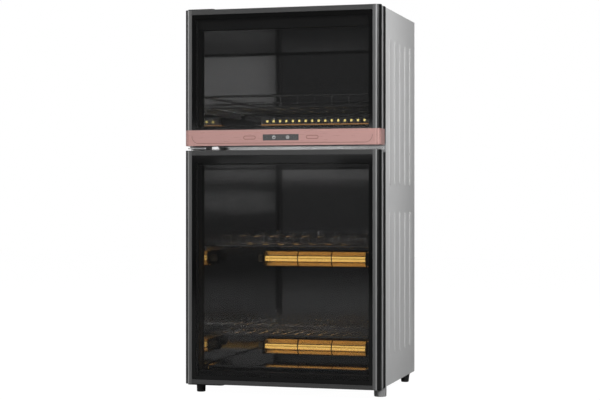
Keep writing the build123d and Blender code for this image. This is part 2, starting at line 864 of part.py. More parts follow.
def make_basket():
    level = upper_floor + basket_level
    rim = level + basket_rise
    post = post_wire / 2
    with BuildPart() as basket:
        rack_loop(rim, wire / 2)
        rack_loop(level, basket_wire / 2)
        for i in range(basket_wires):
            x = (i - (basket_wires - 1) / 2) * basket_pitch
            rod((x, rack_front, level), (x, rack_back, level), thin_wire / 2)
        for i in range(basket_wires - 1):
            x = (i + 1 - basket_wires / 2) * basket_pitch
            for y in (rack_front, rack_back):
                rod((x, y, level), (x, y, rim), post)
        centre = (rack_front + rack_back) / 2
        for i in range(side_posts):
            y = centre + (i - (side_posts - 1) / 2) * side_post_pitch
            for side in (-1, 1):
                rod((side * rack_half, y, level), (side * rack_half, y, rim), post)
        under_wires(level, (basket_wires - 1) / 2 * basket_pitch + thin_wire)
    basket.part.label = "basket"
    export_step(basket.part, "parts/basket.step")


def make_rack_rails():
    """Angle rails on the chamber walls, a running gap under each rack's side wires."""
    levels = [
        (upper_floor + basket_level, basket_wire / 2),
        (lower_floor + middle_level, wire / 2),
        (lower_floor + lower_level, wire / 2),
    ]
    with BuildPart() as rack_rails:
        for level, radius in levels:
            top = level - radius - play
            for side in (-1, 1):
                shelf = sorted((side * (chamber_half - rail_shelf), side * chamber_half))
                web = sorted((side * (chamber_half - rail_sheet), side * chamber_half))
                block(shelf, (rail_front, rack_back), (top - rail_sheet, top))
                block(web, (rail_front, rack_back), (top - rail_drop, top))
    rack_rails.part.label = "rack_rails"
    export_step(rack_rails.part, "parts/rack_rails.step")


def make_drip_tray():
    wide = chamber_half - tray_side_gap
    y = (tray_front, chamber_back - tray_back_gap)
    z = (lower_floor + play, lower_floor + play + tray_height)
    with BuildPart() as drip_tray:
        block(around(wide), y, z)
        fillet(drip_tray.edges().filter_by(Axis.Z), tray_corner)
        inside = (y[0] + tray_sheet, y[1] - tray_sheet)
        block(around(wide - tray_sheet), inside, (z[0] + tray_sheet, z[1]), Mode.SUBTRACT)
    drip_tray.part.label = "drip_tray"
    export_step(drip_tray.part, "parts/drip_tray.step")


# ---------------------------------------------------------------- heaters

heater_depth = chamber_back - heater_back_gap
heater_levels = [lower_floor + lower_heater_level, lower_floor + middle_heater_level]
heater_ends = (heater_shift - heater_length / 2, heater_shift + heater_length / 2)
tube_reach = bracket_sheet + end_cap_length / 2


def make_heater_tubes():
    with BuildPart() as heater_tubes:
        for z in heater_levels:
            left = (heater_ends[0] - tube_reach, heater_depth, z)
            right = (heater_ends[1] + tube_reach, heater_depth, z)
            rod(left, right, tube_radius)
    heater_tubes.part.label = "heater_tubes"
    export_step(heater_tubes.part, "parts/heater_tubes.step")


def make_heater_caps():
    """Ceramic sockets over the tube ends, standing outside the brackets."""
    with BuildPart() as heater_caps:
        for z in heater_levels:
            for side, end in ((-1, heater_ends[0]), (1, heater_ends[1])):
                inner = end + side * bracket_sheet
                outer = inner + side * end_cap_length
                rod((inner, heater_depth, z), (outer, heater_depth, z), end_cap_radius)
                socket = end + side * tube_reach
                rod((inner, heater_depth, z), (socket, heater_depth, z), tube_radius, Mode.SUBTRACT)
    heater_caps.part.label = "heater_caps"
    export_step(heater_caps.part, "parts/heater_caps.step")


def make_heater_brackets():
    with BuildPart() as heater_brackets:
        for z in heater_levels:
            tall = (z - bracket_height / 2, z + bracket_height / 2)
            for side, end in ((-1, heater_ends[0]), (1, heater_ends[1])):
                x = sorted((end, end + side * bracket_sheet))
                foot = sorted((end, end + side * flange))
                block(x, (heater_depth - guard_radius, chamber_back), tall)
                block(foot, (chamber_back - bracket_sheet, chamber_back), tall)
                rod((x[0], heater_depth, z), (x[1], heater_depth, z), tube_radius, Mode.SUBTRACT)
    heater_brackets.part.label = "heater_brackets"
    export_step(heater_brackets.part, "parts/heater_brackets.step")


def make_heater_guards():
    """Wire cages around the tubes, their end rings against the brackets."""
    radius = guard_radius - guard_wire / 2
    step = (heater_length - guard_wire) / (guard_rings - 1)
    with BuildPart() as heater_guards:
        for z in heater_levels:
            for i in range(guard_rings):
                x = heater_ends[0] + i * step
                rod((x, heater_depth, z), (x + guard_wire, heater_depth, z), guard_radius)
            inside = guard_radius - guard_wire
            left, right = heater_ends
            rod((left, heater_depth, z), (right, heater_depth, z), inside, Mode.SUBTRACT)
            for i in range(guard_bars):
                offset = Vector(0, radius, 0).rotate(Axis.X, (i + 0.5) * 360 / guard_bars)
                y = heater_depth + offset.Y
                bar_z = z + offset.Z
                rod((left, y, bar_z), (right, y, bar_z), guard_bar_radius)
    heater_guards.part.label = "heater_guards"
    export_step(heater_guards.part, "parts/heater_guards.step")


def make_heater_reflectors():
    """Half-round troughs behind the tubes, inside the guards, their ends against the brackets."""
    outer = guard_radius - guard_wire - reflector_gap
    left, right = heater_ends
    with BuildPart() as heater_reflectors:
        for z in heater_levels:
            rod((left, heater_depth, z), (right, heater_depth, z), outer)
            inner = outer - reflector_sheet
            rod((left, heater_depth, z), (right, heater_depth, z), inner, Mode.SUBTRACT)
            ahead = (heater_depth - guard_radius, heater_depth)
            block(heater_ends, ahead, (z - outer, z + outer), Mode.SUBTRACT)
    heater_reflectors.part.label = "heater_reflectors"
    export_step(heater_reflectors.part, "parts/heater_reflectors.step")


strip_front = chamber_back - strip_depth
strip_z = (upper_floor + strip_gap, upper_floor + strip_gap + strip_height)
strip_x = (strip_shift - strip_length / 2, strip_shift + strip_length / 2)


def make_vent_strip():
    level = (strip_z[0] + strip_z[1]) / 2
    with BuildPart() as vent_strip:
        block(strip_x, (strip_front, chamber_back), strip_z)
        inside = (strip_x[0] + sheet, strip_x[1] - sheet)
        under = (strip_z[0], strip_z[1] - sheet)
        block(inside, (strip_front + sheet, chamber_back), under, Mode.SUBTRACT)
        for i in range(hole_count):
            x = strip_shift + (i - (hole_count - 1) / 2) * hole_pitch
            rod((x, strip_front, level), (x, strip_front + sheet, level), hole_radius, Mode.SUBTRACT)
    vent_strip.part.label = "vent_strip"
    export_step(vent_strip.part, "parts/vent_strip.step")


def make_strip_heater():
    level = (strip_z[0] + strip_z[1]) / 2
    centre = strip_front + strip_depth / 2
    with BuildPart() as strip_heater:
        left = (strip_x[0] + sheet + fit, centre, level)
        right = (strip_x[1] - sheet - fit, centre, level)
        rod(left, right, strip_tube_radius)
    strip_heater.part.label = "strip_heater"
    export_step(strip_heater.part, "parts/strip_heater.step")


# ---------------------------------------------------------------- electrics


def make_power_board():
    back = cabinet_depth - sheet
    face = back - standoff_height
    x = around(power_board_width / 2)
    z = (beam_z - power_board_height / 2, beam_z + power_board_height / 2)
    with BuildPart() as power_board:
        block(x, (face - board_thickness, face), z)
        for sx in (x[0] + board_margin, x[1] - board_margin):
            for sz in (z[0] + board_margin, z[1] - board_margin):
                rod((sx, face, sz), (sx, back, sz), standoff_radius)
        parts_y = (face - board_thickness - part_height, face - board_thickness)
        block(transformer_x, parts_y, (beam_z + transformer_z[0], beam_z + transformer_z[1]))
        block(relay_x, parts_y, (beam_z + relay_z[0], beam_z + relay_z[1]))
        block(terminal_x, parts_y, (beam_z + terminal_z[0], beam_z + terminal_z[1]))
    power_board.part.label = "power_board"
    export_step(power_board.part, "parts/power_board.step")


def make_thermostats():
    with BuildPart() as thermostats:
        start = chamber_back + liner_sheet
        for _, _, _, ceiling in doors.values():
            level = ceiling - thermostat_drop
            back = (thermostat_x, start + thermostat_height, level)
            rod((thermostat_x, start, level), back, thermostat_radius)
    thermostats.part.label = "thermostats"
    export_step(thermostats.part, "parts/thermostats.step")


# ---------------------------------------------------------------- the whole cabinet

make_side_panel("side_panel_left", -1)
make_side_panel("side_panel_right", 1)
make_top_panel()
make_base_pan()
make_feet()
make_rear_cover()
make_rear_screws()
make_cord_gland()
beam_low = beam_z - beam_height / 2
beam_high = beam_z + beam_height / 2
make_front_frame("front_frame_lower", (base_z, beam_low), (lower_floor, lower_ceiling))
make_front_frame("front_frame_upper", (beam_high, body_top), (upper_floor, upper_ceiling))
make_catch_magnets()
make_cross_beam()
make_liner("lower_liner", lower_floor, lower_ceiling)
make_liner("upper_liner", upper_floor, upper_ceiling)
make_hinge_plate_top()
make_hinge_plate_bottom()
make_hinge_bracket_middle()
make_hinge_pins()
make_door("lower")
make_door("upper")
make_band()
make_display_lens()
for key_name, (key_x, key_z) in zip(("left_key", "right_key"), key_places()):
    make_key(key_name, key_x, key_z)
make_control_board()
make_basket()
for rack, rise, gap, number in (
    ("middle_rack", middle_level, middle_pitch, middle_dividers),
    ("lower_rack", lower_level, lower_pitch, lower_dividers),
):
    make_rack_frame(f"{rack}_frame", lower_floor + rise, gap, number)
    make_dividers(f"{rack}_dividers", lower_floor + rise, gap, number)
make_rack_rails()
make_drip_tray()
make_heater_tubes()
make_heater_caps()
make_heater_brackets()
make_heater_guards()
make_heater_reflectors()
make_vent_strip()
make_strip_heater()
make_power_board()
make_thermostats()
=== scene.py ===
"""Looks of the dish sterilizer cabinet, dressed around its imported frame. Metres, Z up, floor at zero."""

import math
import bpy
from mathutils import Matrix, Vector


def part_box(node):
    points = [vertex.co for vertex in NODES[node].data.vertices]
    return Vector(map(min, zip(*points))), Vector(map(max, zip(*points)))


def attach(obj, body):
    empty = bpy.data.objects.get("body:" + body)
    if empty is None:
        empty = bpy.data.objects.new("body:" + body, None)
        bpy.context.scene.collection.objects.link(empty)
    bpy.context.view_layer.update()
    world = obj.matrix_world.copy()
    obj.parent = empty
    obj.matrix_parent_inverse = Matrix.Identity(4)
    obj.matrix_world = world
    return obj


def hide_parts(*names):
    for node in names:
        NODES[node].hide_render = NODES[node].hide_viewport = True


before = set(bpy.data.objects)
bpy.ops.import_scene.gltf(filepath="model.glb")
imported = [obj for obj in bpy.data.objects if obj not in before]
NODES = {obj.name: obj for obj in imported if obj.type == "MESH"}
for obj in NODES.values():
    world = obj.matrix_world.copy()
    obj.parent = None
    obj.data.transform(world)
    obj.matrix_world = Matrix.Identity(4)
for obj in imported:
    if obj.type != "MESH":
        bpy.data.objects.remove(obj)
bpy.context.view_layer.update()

MM = 0.001

panel_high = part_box("side_panel_right")[1]
band_low, band_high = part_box("band")
lower_glass_low, lower_glass_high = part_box("lower_glass")
upper_glass_low, upper_glass_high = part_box("upper_glass")
tube_low, tube_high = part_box("heater_tubes")
vent_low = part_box("vent_strip")[0]
rail_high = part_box("lower_rail_right")[1]
inner_frame_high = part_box("lower_inner_frame")[1]
door_front = band_low.y
gap_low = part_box("lower_top_rail")[1].z
gap_high = band_low.z


# ------------------------------------------------------------------ shader maths


class Link:
    """A shader output that takes part in Python sums."""

    def __init__(self, finish, socket):
        self.finish = finish
        self.socket = socket

    def sum(self, operation, *inputs):
        values = dict(enumerate(inputs))
        return self.finish.node("ShaderNodeMath", {"operation": operation}, values)

    def __add__(self, other):
        return self.sum("ADD", self, other)

    def __radd__(self, other):
        return self.sum("ADD", other, self)

    def __sub__(self, other):
        return self.sum("SUBTRACT", self, other)

    def __rsub__(self, other):
        return self.sum("SUBTRACT", other, self)

    def __mul__(self, other):
        return self.sum("MULTIPLY", self, other)

    def __rmul__(self, other):
        return self.sum("MULTIPLY", other, self)

    def size(self):
        return self.sum("ABSOLUTE", self)

    def root(self):
        return self.sum("SQRT", self)

    def sine(self):
        return self.sum("SINE", self)

    def least(self, other):
        return self.sum("MINIMUM", self, other)

    def most(self, other):
        return self.sum("MAXIMUM", self, other)

    def rise(self, start, end):
        """0 below start, 1 above end, smooth between."""
        values = {"Value": self, "From Min": start, "From Max": end}
        return self.finish.node("ShaderNodeMapRange", {"interpolation_type": "SMOOTHSTEP"}, values)


class Finish:
    """One material: its node tree and the principled shader at its end."""

    def __init__(self, name, **fixed):
        self.material = bpy.data.materials.new(name)
        self.material.use_nodes = True
        self.tree = self.material.node_tree
        self.shader = self.tree.nodes["Principled BSDF"]
        self.set(**fixed)

    def node(self, kind, settings=None, values=None, output=0):
        made = self.tree.nodes.new(kind)
        for name, value in (settings or {}).items():
            setattr(made, name, value)
        for name, value in (values or {}).items():
            self.feed(made.inputs[name], value)
        return Link(self, made.outputs[output])

    def feed(self, socket, value):
        if isinstance(value, Link):
            self.tree.links.new(value.socket, socket)
        else:
            socket.default_value = value

    def set(self, **values):
        for name, value in values.items():
            self.feed(self.shader.inputs[name.replace("_", " ")], value)

    def place(self):
        return self.node("ShaderNodeTexCoord", output="Object")

    def axis(self, letter):
        """One coordinate of the place on the surface, in metres."""
        split = self.node("ShaderNodeSeparateXYZ", None, {"Vector": self.place()})
        return Link(self, split.socket.node.outputs[letter])

    def noise(self, scale, detail=2.0, stretch=(1, 1, 1)):
        spread = self.node("ShaderNodeMapping", None, {"Vector": self.place(), "Scale": stretch})
        return self.node("ShaderNodeTexNoise", None, {"Vector": spread, "Scale": scale, "Detail": detail})

    def blend(self, factor, first, second):
        """Mixes two colours."""
        values = {"Factor": factor, 6: first, 7: second}
        return self.node("ShaderNodeMix", {"data_type": "RGBA"}, values, 2)

    def bump(self, height, distance, strength=1.0):
        values = {"Height": height, "Distance": distance, "Strength": strength}
        self.set(Normal=self.node("ShaderNodeBump", None, values))


def colour(red, green, blue):
    return (red, green, blue, 1.0)


def grey(value):
    return colour(value, value, value)


# ------------------------------------------------------------------ finishes


def panel_paint(name, tone):
    """Satin light grey paint with a little orange peel."""
    made = Finish(name, Specular_IOR_Level=0.4)
    clouds = made.noise(7.0, 3.0)
    made.set(Base_Color=made.blend(clouds, grey(tone * 0.97), grey(tone * 1.03)))
    made.set(Roughness=0.34 + 0.08 * made.noise(40.0))
    made.bump(made.noise(900.0), 0.0001, 0.2)
    return made.material


def beam_paint():
    """Silver metallic paint, smooth enough to mirror the room in a blur."""
    made = Finish("beam_paint", Metallic=0.85)
    flakes = made.noise(1500.0, 1.0)
    made.set(Base_Color=made.blend(flakes, grey(0.72), grey(0.84)))
    made.set(Roughness=0.2 + 0.05 * made.noise(30.0))
    made.bump(flakes, 0.00003, 0.2)
    return made.material


def galvanised_steel():
    made = Finish("galvanised_steel", Metallic=0.55)
    spangle = made.node("ShaderNodeTexVoronoi", None, {"Vector": made.place(), "Scale": 90.0}, "Distance")
    made.set(Base_Color=made.blend(spangle, grey(0.36), grey(0.5)))
    made.set(Roughness=0.42 + 0.12 * made.noise(60.0))
    made.bump(made.noise(500.0), 0.0001, 0.2)
    return made.material


def rose_metal():
    """Satin rose-gold metal, fine grain along the band, with painted shade darkening its groove, and two
    printed long rings.
    """
    made = Finish("rose_metal", Metallic=0.3)
    grain = made.noise(900.0, 3.0, (0.03, 1, 1))
    metal = made.blend(grain, colour(0.46, 0.262, 0.24), colour(0.525, 0.305, 0.28))
    behind = made.axis("Y") - door_front
    # Painted shade: the groove is darkened where shade falls in it.
    painted_groove_shade = behind.rise(0.1 * MM, 0.5 * MM) * (1 - behind.rise(1 * MM, 2 * MM))
    metal = made.blend(painted_groove_shade * 0.75, metal, colour(0.2, 0.105, 0.09))
    ring_place = 69 * MM
    straight_half = 9.5 * MM
    ring_radius = 3.4 * MM
    line_half = 0.4 * MM
    along = ((made.axis("X").size() - ring_place).size() - straight_half).most(0.0)
    across = made.axis("Z") - (band_low.z + band_high.z) / 2
    off = ((along * along + across * across).root() - ring_radius).size()
    ink = (1 - off.rise(line_half, 2 * line_half)) * (1 - behind.rise(0.2 * MM, 0.4 * MM))
    made.set(Base_Color=made.blend(ink, metal, colour(0.22, 0.1, 0.085)))
    made.set(Roughness=0.24 + 0.1 * grain)
    made.bump(grain, 0.00005, 0.25)
    return made.material


# Widths of the painted dark reflection and the painted highlight strip on the uprights' rounded edges.
PAINTED_DARK_SIDE = 8 * MM
PAINTED_HIGHLIGHT_STRIP = 3 * MM


def dark_anodised(name, tone, direction, painted_edge_light=False):
    """Dark anodised aluminium, drawn along the rail. Uprights end in a painted highlight strip and a painted
    dark reflection along their rounded sides.
    """
    made = Finish(name, Metallic=0.2, Specular_IOR_Level=0.4)
    lines = made.noise(1100.0, 2.0, direction)
    metal = made.blend(lines, grey(tone * 0.85), grey(tone * 1.15))
    # Painted highlight strip, then a painted dark reflection, on the rounded outer edge of the uprights.
    if painted_edge_light:
        sideways = made.axis("X").size()
        painted_dark_from = rail_high.x - PAINTED_DARK_SIDE
        painted_highlight_from = painted_dark_from - PAINTED_HIGHLIGHT_STRIP
        metal = made.blend(sideways.rise(painted_highlight_from, painted_highlight_from + 1.5 * MM), metal, grey(tone * 2.6))
        metal = made.blend(sideways.rise(painted_dark_from, painted_dark_from + 0.7 * MM), metal, grey(0.002))
    made.set(Base_Color=metal)
    made.set(Roughness=0.28 + 0.1 * lines)
    made.bump(lines, 0.00004, 0.3)
    return made.material


def moulded_plastic(name, tone, roughness=0.5, gloss=0.35):
    made = Finish(name, Specular_IOR_Level=gloss)
    grain = made.noise(1400.0, 1.0)
    made.set(Base_Color=made.blend(made.noise(30.0), grey(tone * 0.9), grey(tone * 1.1)))
    made.set(Roughness=roughness + 0.08 * grain)
    made.bump(grain, 0.00008, 0.35)
    return made.material


def bright_steel(name, tone, roughness, direction=(1, 1, 1), relief=0.2):
    """Stainless sheet or wire: faint rolling lines and a little clouding."""
    made = Finish(name, Metallic=1.0)
    lines = made.noise(700.0, 2.0, direction)
    made.set(Base_Color=made.blend(lines, grey(tone * 0.94), grey(tone * 1.04)))
    made.set(Roughness=roughness + 0.3 * roughness * made.noise(12.0, 3.0))
    made.bump(lines, 0.00003, relief)
    return made.material


def foot_plastic():
    """Black feet; the wide front right one is light grey with a fluted rim, whose flutes are striped lighter
    and darker in painted shade.
    """
    made = Finish("foot_plastic", Specular_IOR_Level=0.3)
    x = made.axis("X")
    wide = x.rise(100 * MM, 110 * MM) * (1 - made.axis("Y").rise(0, 10 * MM))
    flutes = (x * 2600.0).sine().rise(-1.0, 1.0)
    # Painted shade: the pale grey turns lighter and darker with each flute.
    pale = made.blend(flutes, grey(0.2), grey(0.34))
    made.set(Base_Color=made.blend(wide, grey(0.008), pale))
    made.set(Roughness=0.5 + 0.1 * made.noise(900.0, 1.0))
    made.bump(wide * flutes, 0.0003, 0.5)
    return made.material


def door_frame_plastic():
    """Inner door frame: black towards the glass, light grey along its outer sides."""
    made = Finish("door_frame_plastic", Specular_IOR_Level=0.3)
    skin = inner_frame_high.x - 1.2 * MM
    outside = made.axis("X").size().rise(skin, skin + 0.3 * MM)
    made.set(Base_Color=made.blend(outside, grey(0.006), grey(0.3)))
    made.set(Roughness=0.5 + 0.08 * made.noise(1400.0, 1.0))
    return made.material


def lit_strip():
    """Perforated sheet whose lower lip carries a painted glow, standing in for the light of the tube behind
    it.
    """
    made = Finish("lit_strip", Metallic=0.6, Emission_Strength=1.0)
    # Painted light: an orange glow on the lower lip, as if the tube lit it.
    lip_top = vent_low.z + 1.6 * MM
    painted_lip_glow = 1 - made.axis("Z").rise(lip_top, lip_top + 1 * MM)
    made.set(Base_Color=made.blend(made.noise(300.0), grey(0.3), grey(0.4)))
    made.set(Roughness=0.3 + 0.08 * made.noise(60.0))
    made.set(Emission_Color=made.blend(painted_lip_glow, grey(0), colour(0.62, 0.27, 0.06)))
    return made.material


def sleeved_pin():
    """Bright hinge pins, with a white nylon sleeve where they cross the gap between the doors."""
    made = Finish("sleeved_pin")
    z = made.axis("Z")
    sleeve = z.rise(gap_low - 0.1 * MM, gap_low) * (1 - z.rise(gap_high, gap_high + 0.1 * MM))
    made.set(Base_Color=made.blend(sleeve, grey(0.5), grey(0.8)), Metallic=1 - sleeve)
    made.set(Roughness=0.3 + 0.08 * made.noise(300.0))
    return made.material


def window_glass(name, low, high, side_border, top_border, foot_border):
    """Grey-tinted pane with its black printed border."""
    made = Finish(name, IOR=1.5, Specular_IOR_Level=0.35)
    x, z = made.axis("X"), made.axis("Z")
    side = (x - low.x).least(high.x - x) - side_border
    edge = side.least(high.z - z - top_border).least(z - low.z - foot_border)
    print_mask = 1 - edge.rise(-0.4 * MM, 0.4 * MM)
    made.set(Base_Color=made.blend(print_mask, grey(0.007), grey(0.002)))
    made.set(Alpha=0.36 + 0.64 * print_mask)
    made.set(Roughness=0.04 + 0.04 * made.noise(6.0))
    return made.material


def clear_pane():
    made = Finish("clear_pane", IOR=1.5, Specular_IOR_Level=0.25)
    made.set(Base_Color=grey(0.05), Alpha=0.05 + 0.04 * made.noise(5.0))
    made.set(Roughness=0.05 + 0.02 * made.noise(30.0))
    return made.material


def glowing_quartz(name, strength, dim, bright):
    """Tube lit by its filament, brighter and darker along its turns, a dark line along the two big ones."""
    made = Finish(name, Roughness=0.25, Emission_Strength=strength)
    turns = (made.axis("X") * 1400.0).sine()
    warm = made.blend(turns.rise(-1.0, 1.0), dim, bright)
    thickness = tube_high.y - tube_low.y
    line_level = 0.55 * thickness
    z = made.axis("Z")
    lower_line = (z - tube_low.z - line_level).size()
    upper_line = (tube_high.z - z - (thickness - line_level)).size()
    line = 1 - lower_line.least(upper_line).rise(0.5 * MM, 1.1 * MM)
    warm = made.blend(line, warm, colour(0.3, 0.17, 0.015))
    made.set(Base_Color=warm, Emission_Color=warm)
    return made.material


def lit_reflector():
    """Gold trough in the light of its tube, streaked along its length."""
    made = Finish("lit_reflector", Metallic=0.3, Roughness=0.3)
    streaks = made.noise(500.0, 2.0, (0.02, 1, 1))
    made.set(Base_Color=made.blend(streaks, colour(0.72, 0.6, 0.4), colour(0.92, 0.8, 0.58)))
    return made.material


def ceramic():
    made = Finish("ceramic")
    made.set(Base_Color=made.blend(made.noise(80.0), colour(0.3, 0.24, 0.15), colour(0.38, 0.31, 0.2)))
    made.set(Roughness=0.35 + 0.1 * made.noise(300.0))
    made.bump(made.noise(600.0), 0.0001, 0.3)
    return made.material


def circuit_board():
    """Green solder mask with bright tracks."""
    made = Finish("circuit_board")
    tracks = made.node(
        "ShaderNodeTexBrick",
        {"offset": 0.3},
        {"Vector": made.place(), "Scale": 60.0, "Mortar Size": 0.012, "Color1": grey(0), "Color2": grey(0),
         "Mortar": grey(1)},
    )
    made.set(Base_Color=made.blend(tracks, colour(0.012, 0.1, 0.045), colour(0.05, 0.22, 0.1)))
    made.set(Roughness=0.4 + 0.1 * made.noise(200.0))
    return made.material


def cloudy(name, low, high, roughness):
    """A plain finish that wanders a little between two colours."""
    made = Finish(name)
    made.set(Base_Color=made.blend(made.noise(20.0), low, high))
    made.set(Roughness=roughness + 0.06 * made.noise(400.0))
    return made.material


def dress(node, material):
    """Gives a CAD node its finish."""
    mesh = NODES[node].data
    mesh.materials.clear()
    mesh.materials.append(material)


along_x = (0.02, 1, 1)
along_z = (1, 1, 0.02)
paint = panel_paint("panel_paint", 0.5)
black_plastic = moulded_plastic("black_plastic", 0.005, 0.6, 0.15)
white_plastic = moulded_plastic("white_plastic", 0.8)
white_ink = cloudy("white_ink", grey(0.6), grey(0.72), 0.5)
# True gives the uprights the painted highlight strip and painted dark reflection.
rail_upright = dark_anodised("rail_upright", 0.095, along_z, True)
rail_level = dark_anodised("rail_level", 0.05, along_x)
lower_window = window_glass(
    "lower_window",
    lower_glass_low,
    lower_glass_high,
    side_border=8.5 * MM,
    top_border=16 * MM,
    foot_border=9 * MM,
)
upper_window = window_glass(
    "upper_window",
    upper_glass_low,
    upper_glass_high,
    side_border=8.5 * MM,
    top_border=8.5 * MM,
    foot_border=3 * MM,
)
heater_glow = glowing_quartz("heater_glow", 2.1, colour(0.86, 0.5, 0.12), colour(0.86, 0.56, 0.17))
strip_glow = glowing_quartz("strip_glow", 3.0, colour(0.62, 0.5, 0.16), colour(0.66, 0.56, 0.22))

finishes = {
    paint: ["side_panel_left", "side_panel_right", "top_panel", "base_pan"],
    galvanised_steel(): ["rear_cover"],
    beam_paint(): ["cross_beam"],
    rose_metal(): ["band"],
    rail_upright: ["upper_rail_left", "upper_rail_right", "lower_rail_left", "lower_rail_right",
                   "upper_corner_caps", "lower_corner_caps"],
    rail_level: ["upper_top_rail", "lower_top_rail", "lower_bottom_rail"],
    foot_plastic(): ["feet"],
    black_plastic: ["cord_gland", "front_frame_lower", "front_frame_upper", "thermostats",
                    "hinge_plate_top", "hinge_plate_bottom"],
    door_frame_plastic(): ["upper_inner_frame", "lower_inner_frame"],
    moulded_plastic("nylon", 0.6): ["upper_bushes", "lower_bushes"],
    moulded_plastic("rubber", 0.01, 0.7): ["upper_gasket", "lower_gasket"],
    bright_steel("liner_steel", 0.5, 0.05, along_x, 0.04): ["lower_liner", "upper_liner", "drip_tray"],
    bright_steel("rack_rail_steel", 0.4, 0.25): ["rack_rails"],
    lit_strip(): ["vent_strip"],
    bright_steel("wire_steel", 0.75, 0.12): ["basket", "middle_rack_frame", "middle_rack_dividers",
                                             "lower_rack_frame", "lower_rack_dividers"],
    bright_steel("hinge_steel", 0.7, 0.4): ["hinge_bracket_middle"],
    bright_steel("screw_steel", 0.55, 0.25): ["rear_screws", "catch_magnets", "upper_strike", "lower_strike"],
    sleeved_pin(): ["hinge_pins"],
    bright_steel("dark_steel", 0.08, 0.35): ["heater_brackets", "heater_guards"],
    ceramic(): ["heater_caps"],
    circuit_board(): ["control_board", "power_board"],
    cloudy("display_gloss", grey(0.058), grey(0.07), 0.24): ["display_lens", "left_key", "right_key"],
    clear_pane(): ["upper_inner_glass", "lower_inner_glass"],
    heater_glow: ["heater_tubes"],
    strip_glow: ["strip_heater"],
    lit_reflector(): ["heater_reflectors"],
    lower_window: ["lower_glass"],
    upper_window: ["upper_glass"],
}
for material, names in finishes.items():
    for name in names:
        dress(name, material)


# ------------------------------------------------------------------ modelling helpers


def begin():
    bpy.ops.object.select_all(action="DESELECT")


def edit():
    bpy.ops.object.mode_set(mode="EDIT")


def leave():
    bpy.ops.object.mode_set(mode="OBJECT")


def settle():
    """Puts the piece's place and turn into its mesh."""
    bpy.ops.object.transform_apply(location=True, rotation=True, scale=True)


def finish_piece(name, material, body, replaced=()):
    piece = bpy.context.active_object
    piece.name = name
    piece.data.materials.clear()
    piece.data.materials.append(material)
    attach(piece, body)
    if replaced:
        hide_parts(*replaced)


def cuboid(low, high):
    begin()
    low, high = Vector(low), Vector(high)
    bpy.ops.mesh.primitive_cube_add(size=1, location=(low + high) / 2, scale=high - low)
    settle()


def round_edges(width, segments=3):
    """Bevels every edge that turns more than 30 degrees."""
    bpy.ops.object.modifier_add(type="BEVEL")
    bevel = bpy.context.active_object.modifiers[-1]
    bevel.width = width
    bevel.segments = segments
    bpy.ops.object.modifier_apply(modifier=bevel.name)
    bpy.ops.object.shade_smooth_by_angle(angle=math.radians(40))


def join(pieces):
    begin()
    for piece in pieces:
        piece.select_set(True)
    bpy.context.view_layer.objects.active = pieces[0]
    bpy.ops.object.join()


# ------------------------------------------------------------------ side panels


RIBS = 5
SHEET = 1.0 * MM
RIB_RISE = 1.5 * MM
RIB_RADIUS = 12.2 * MM
RIB_DEPTH = 0.6 * MM
RIB_PITCH = 52.6 * MM
RIB_MARGIN = 61.5 * MM
LOWER_ROW_TOP = 369 * MM
UPPER_ROW_FOOT = 425 * MM
FLANGE = 12 * MM

# The share of a rib's depth that stands out of the sheet before its top is raised.
RIB_PROUD = 0.05

# Each step of a rib's soft flank: how far it goes in, in mm, and its share of the rise.
RIB_STEPS = ((0.3, 0.04), (0.7, 0.21), (0.8, 0.3), (0.8, 0.26), (0.8, 0.13), (1.0, 0.06))


def rib(face, y, low, high):
    """One soft-sided closed rib on the right-hand panel, its back sunk into the sheet."""
    begin()
    bpy.ops.mesh.primitive_cylinder_add(
        vertices=48,
        radius=RIB_RADIUS,
        depth=RIB_DEPTH,
        location=(face - (0.5 - RIB_PROUD) * RIB_DEPTH, y, low + RIB_RADIUS),
        rotation=(0, math.radians(90), 0),
    )
    settle()
    piece = bpy.context.active_object
    edit()
    bpy.ops.mesh.select_mode(type="VERT")
    bpy.ops.mesh.select_all(action="DESELECT")
    leave()
    for vertex in piece.data.vertices:
        vertex.select = vertex.co.z > low + RIB_RADIUS - 0.01 * MM
    edit()
    bpy.ops.transform.translate(value=(0, 0, high - low - 2 * RIB_RADIUS))
    bpy.ops.mesh.select_mode(type="FACE")
    bpy.ops.mesh.select_all(action="DESELECT")
    leave()
    for polygon in piece.data.polygons:
        polygon.select = polygon.normal.x > 0.9
    edit()
    for inward, share in RIB_STEPS:
        bpy.ops.mesh.inset(thickness=inward * MM)
        bpy.ops.transform.translate(value=(share * (RIB_RISE - 2 * RIB_PROUD * RIB_DEPTH), 0, 0))
    leave()
    bpy.ops.object.shade_smooth_by_angle(angle=math.radians(50))
    return piece


def copies(piece, count, step):
    """Copies a piece along y, each copy with its own mesh."""
    made = [piece]
    for number in range(1, count):
        begin()
        piece.select_set(True)
        bpy.context.view_layer.objects.active = piece
        bpy.ops.object.duplicate(linked=False)
        bpy.ops.transform.translate(value=(0, number * step, 0))
        settle()
        made.append(bpy.context.active_object)
    return made


def pressed_side():
    """The folded sheet of the right-hand panel and its two rows of ribs."""
    low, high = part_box("side_panel_right")
    outer = panel_high.x - RIB_RISE
    inner = outer - SHEET
    cuboid((inner, low.y, low.z), (outer, high.y, high.z))
    round_edges(0.4 * MM)
    parts = [bpy.context.active_object]
    first = (low.y + high.y) / 2 - (RIBS - 1) / 2 * RIB_PITCH
    rows = ((low.z + RIB_MARGIN, low.z + LOWER_ROW_TOP), (low.z + UPPER_ROW_FOOT, high.z - RIB_MARGIN))
    for start, end in rows:
        parts += copies(rib(outer, first, start, end), RIBS, RIB_PITCH)
    cuboid((inner - FLANGE, low.y + SHEET, low.z), (inner, low.y + 2 * SHEET, high.z))
    round_edges(0.15 * MM)
    parts += copies(bpy.context.active_object, 2, high.y - low.y - 3 * SHEET)
    join(parts)


